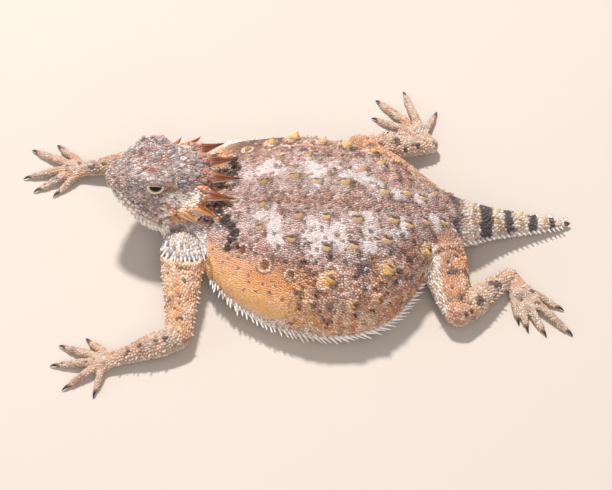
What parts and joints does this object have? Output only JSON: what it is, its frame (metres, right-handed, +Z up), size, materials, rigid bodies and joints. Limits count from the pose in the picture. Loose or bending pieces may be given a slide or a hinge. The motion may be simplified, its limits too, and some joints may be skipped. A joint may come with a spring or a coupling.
{
  "type": "regal horned lizard",
  "caption": "Life-size horned lizard resting on its belly, head raised, with a crown of horns, a flat fringed body, short tail and spread clawed feet.",
  "frame": {"origin": "on the floor, at the middle of the animal's box seen from above", "axes": "the head points to -X and the tail to +X; +Z is up; the animal's left side is at -Y"},
  "size_m": [0.157, 0.1123, 0.0298],
  "materials": {
    "skin_back": "dry scaly skin, grey-lilac patches and dark marks on pinkish brown",
    "skin_head": "dry granular scales, grey-pink with orange patches",
    "skin_limb": "keeled scales, orange-tan with dark grey spots",
    "horn": "satin keratin, orange-brown root to dark tip",
    "eye": "wet gloss"
  },
  "bodies": {
    "root": {"eye_L": "eye", "eye_R": "eye", "foot_L": "skin_limb", "foot_R": "skin_limb", "forearm_L": "skin_limb", "forearm_R": "skin_limb", "hand_L": "skin_limb", "hand_R": "skin_limb", "head": "skin_head", "horn_occipital_inner_L": "horn", "horn_occipital_inner_R": "horn", "horn_occipital_outer_L": "horn", "horn_occipital_outer_R": "horn", "horn_temporal_front_L": "horn", "horn_temporal_front_R": "horn", "horn_temporal_mid_L": "horn", "horn_temporal_mid_R": "horn", "horn_temporal_rear_L": "horn", "horn_temporal_rear_R": "horn", "lower_jaw": "skin_head", "neck": "skin_back", "shank_L": "skin_limb", "shank_R": "skin_limb", "tail": "skin_back", "thigh_L": "skin_limb", "thigh_R": "skin_limb", "trunk": "skin_back", "upper_arm_L": "skin_limb", "upper_arm_R": "skin_limb"}
  },
  "joints": []
}
